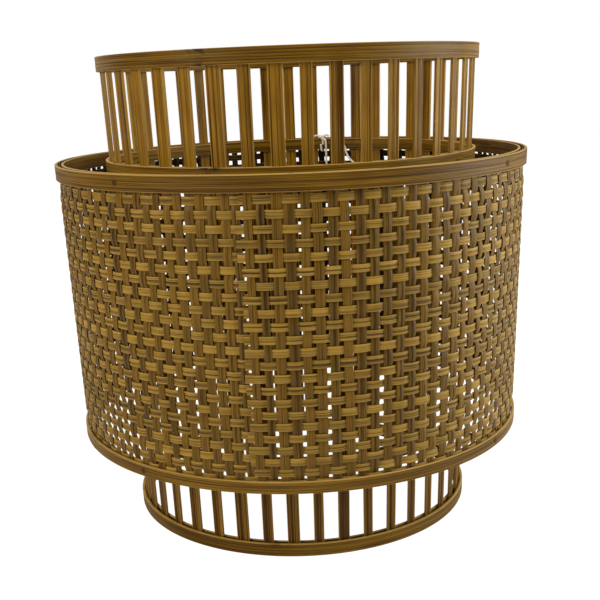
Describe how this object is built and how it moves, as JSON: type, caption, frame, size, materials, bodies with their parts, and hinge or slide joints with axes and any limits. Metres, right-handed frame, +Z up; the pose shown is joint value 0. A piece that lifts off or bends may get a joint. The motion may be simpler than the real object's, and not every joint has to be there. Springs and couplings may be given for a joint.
{
  "type": "woven bamboo lampshade",
  "caption": "Two-tier lampshade: an open woven bamboo drum pegged round a taller sleeve of upright bamboo slats between hoops, with a steel ring fitter for a lampholder.",
  "frame": {"origin": "centre of the circle on which the foot of the inner sleeve stands", "axes": "+Z up along the axis of both tiers; -Y is the front; +X is to the right seen from the front"},
  "size_m": [0.4, 0.4, 0.3926],
  "materials": {
    "woven_bamboo": "split bamboo strips, smoked golden brown, satin, plain weave",
    "hoop_bamboo": "bent bamboo strip, fine lengthwise grain, clear satin varnish",
    "slat_bamboo": "split bamboo slat, fine upright grain, clear satin varnish",
    "peg_bamboo": "round bamboo peg, dark end grain",
    "painted_steel": "white powder coat",
    "cord_cotton": "white twisted cord"
  },
  "bodies": {
    "root": {"woven_wall": "woven_bamboo", "drum_head_band_outer": "hoop_bamboo", "drum_head_band_inner": "hoop_bamboo", "drum_foot_band_outer": "hoop_bamboo", "drum_foot_band_inner": "hoop_bamboo", "sleeve_head_hoop_outer": "hoop_bamboo", "sleeve_head_hoop_inner": "hoop_bamboo", "sleeve_mid_hoop_outer": "hoop_bamboo", "sleeve_mid_hoop_inner": "hoop_bamboo", "sleeve_foot_hoop_outer": "hoop_bamboo", "sleeve_foot_hoop_inner": "hoop_bamboo", "slat_00": "slat_bamboo", "slat_01": "slat_bamboo", "slat_02": "slat_bamboo", "slat_03": "slat_bamboo", "slat_04": "slat_bamboo", "slat_05": "slat_bamboo", "slat_06": "slat_bamboo", "slat_07": "slat_bamboo", "slat_08": "slat_bamboo", "slat_09": "slat_bamboo", "slat_10": "slat_bamboo", "slat_11": "slat_bamboo", "slat_12": "slat_bamboo", "slat_13": "slat_bamboo", "slat_14": "slat_bamboo", "slat_15": "slat_bamboo", "slat_16": "slat_bamboo", "slat_17": "slat_bamboo", "slat_18": "slat_bamboo", "slat_19": "slat_bamboo", "slat_20": "slat_bamboo", "slat_21": "slat_bamboo", "slat_22": "slat_bamboo", "slat_23": "slat_bamboo", "slat_24": "slat_bamboo", "slat_25": "slat_bamboo", "slat_26": "slat_bamboo", "slat_27": "slat_bamboo", "slat_28": "slat_bamboo", "slat_29": "slat_bamboo", "slat_30": "slat_bamboo", "slat_31": "slat_bamboo", "slat_32": "slat_bamboo", "slat_33": "slat_bamboo", "slat_34": "slat_bamboo", "slat_35": "slat_bamboo", "slat_36": "slat_bamboo", "slat_37": "slat_bamboo", "slat_38": "slat_bamboo", "slat_39": "slat_bamboo", "slat_40": "slat_bamboo", "slat_41": "slat_bamboo", "slat_42": "slat_bamboo", "stay_1": "peg_bamboo", "stay_2": "peg_bamboo", "stay_3": "peg_bamboo", "stay_4": "peg_bamboo", "fitter": "painted_steel", "tie_cord": "cord_cotton"}
  },
  "joints": []
}
